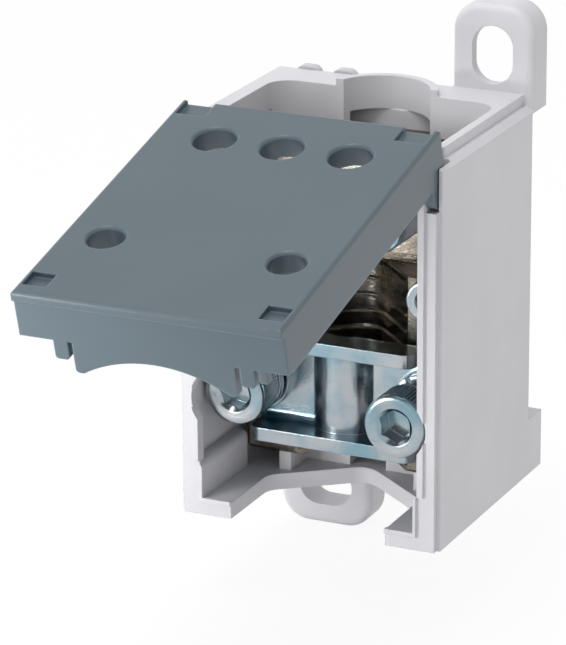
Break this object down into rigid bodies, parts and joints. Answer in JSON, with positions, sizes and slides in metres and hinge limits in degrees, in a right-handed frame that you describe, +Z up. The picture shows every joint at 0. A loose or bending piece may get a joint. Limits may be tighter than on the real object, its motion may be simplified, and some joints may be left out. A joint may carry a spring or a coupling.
{
  "type": "power distribution block",
  "caption": "Single-pole power distribution block: moulded box with hinged lid, terminal body, screwed saddle clamp below, grub-screw ways above, wall ears and rail clip.",
  "frame": {"origin": "on the mounting plane, in the middle of the box's width, and midway in height between the centres of the two fixing slots", "axes": "+X to the right seen from the front, +Z up, +Y into the wall: the front faces -Y"},
  "size_m": [0.056, 0.1228, 0.1169],
  "materials": {
    "housing_plastic": "light grey glass-filled nylon, fine satin",
    "lid_plastic": "slate grey nylon, smooth satin",
    "plated_brass": "tin-plated brass, bright",
    "zinc_steel": "blue zinc plating",
    "plain_brass": "plain turned brass",
    "latch_plastic": "light grey nylon"
  },
  "bodies": {
    "block": {"housing": "housing_plastic", "terminal_body": "plated_brass", "terminal_fixing_screw_left": "zinc_steel", "terminal_fixing_screw_right": "zinc_steel", "terminal_lock_washer_left": "zinc_steel", "terminal_lock_washer_right": "zinc_steel", "threaded_insert_left": "plain_brass", "threaded_insert_right": "plain_brass", "latch_spring": "zinc_steel"},
    "lid": {"lid": "lid_plastic"},
    "clamp": {"clamp_saddle": "zinc_steel", "clamp_flat_washer_left": "zinc_steel", "clamp_flat_washer_right": "zinc_steel", "clamp_spring_washer_left": "zinc_steel", "clamp_spring_washer_right": "zinc_steel"},
    "clamp_screw_left": {"clamp_screw_left": "zinc_steel"},
    "clamp_screw_right": {"clamp_screw_right": "zinc_steel"},
    "outgoing_screw_left": {"outgoing_screw_left": "zinc_steel"},
    "outgoing_screw_middle": {"outgoing_screw_middle": "zinc_steel"},
    "outgoing_screw_right": {"outgoing_screw_right": "zinc_steel"},
    "latch": {"rail_latch": "latch_plastic"}
  },
  "joints": [
    {"name": "lid_hinge", "type": "hinge", "parent": "block", "child": "lid", "pos_m": [0, -0.0524, 0.03355], "axis": [1, 0, 0], "range_deg": [-15, 75.8]},
    {"name": "saddle_slide", "type": "slide", "parent": "block", "child": "clamp", "axis": [0, -1, 0], "range_m": [-0.0005, 0.0055]},
    {"name": "clamp_screw_left_turn", "type": "hinge", "parent": "clamp", "child": "clamp_screw_left", "pos_m": [-0.0184, -0.0418, -0.01455], "axis": [0, -1, 0], "range_deg": [-160, 1600]},
    {"name": "clamp_screw_right_turn", "type": "hinge", "parent": "clamp", "child": "clamp_screw_right", "pos_m": [0.0184, -0.0418, -0.01455], "axis": [0, -1, 0], "range_deg": [-160, 1600]},
    {"name": "outgoing_screw_left_slide", "type": "slide", "parent": "block", "child": "outgoing_screw_left", "axis": [0, 1, 0], "range_m": [-0.003, 0.01]},
    {"name": "outgoing_screw_middle_slide", "type": "slide", "parent": "block", "child": "outgoing_screw_middle", "axis": [0, 1, 0], "range_m": [-0.003, 0.0155]},
    {"name": "outgoing_screw_right_slide", "type": "slide", "parent": "block", "child": "outgoing_screw_right", "axis": [0, 1, 0], "range_m": [-0.003, 0.01]},
    {"name": "latch_slide", "type": "slide", "parent": "block", "child": "latch", "axis": [0, 0, 1], "range_m": [0, 0.003], "stiffness_N_per_m": 500, "springref_m": -0.003, "deforming": ["latch_spring"]}
  ],
  "couplings": [
    {"joint": "clamp_screw_left_turn", "follows": "saddle_slide", "rad_per_m": 5026.5},
    {"joint": "clamp_screw_right_turn", "follows": "saddle_slide", "rad_per_m": 5026.5}
  ]
}
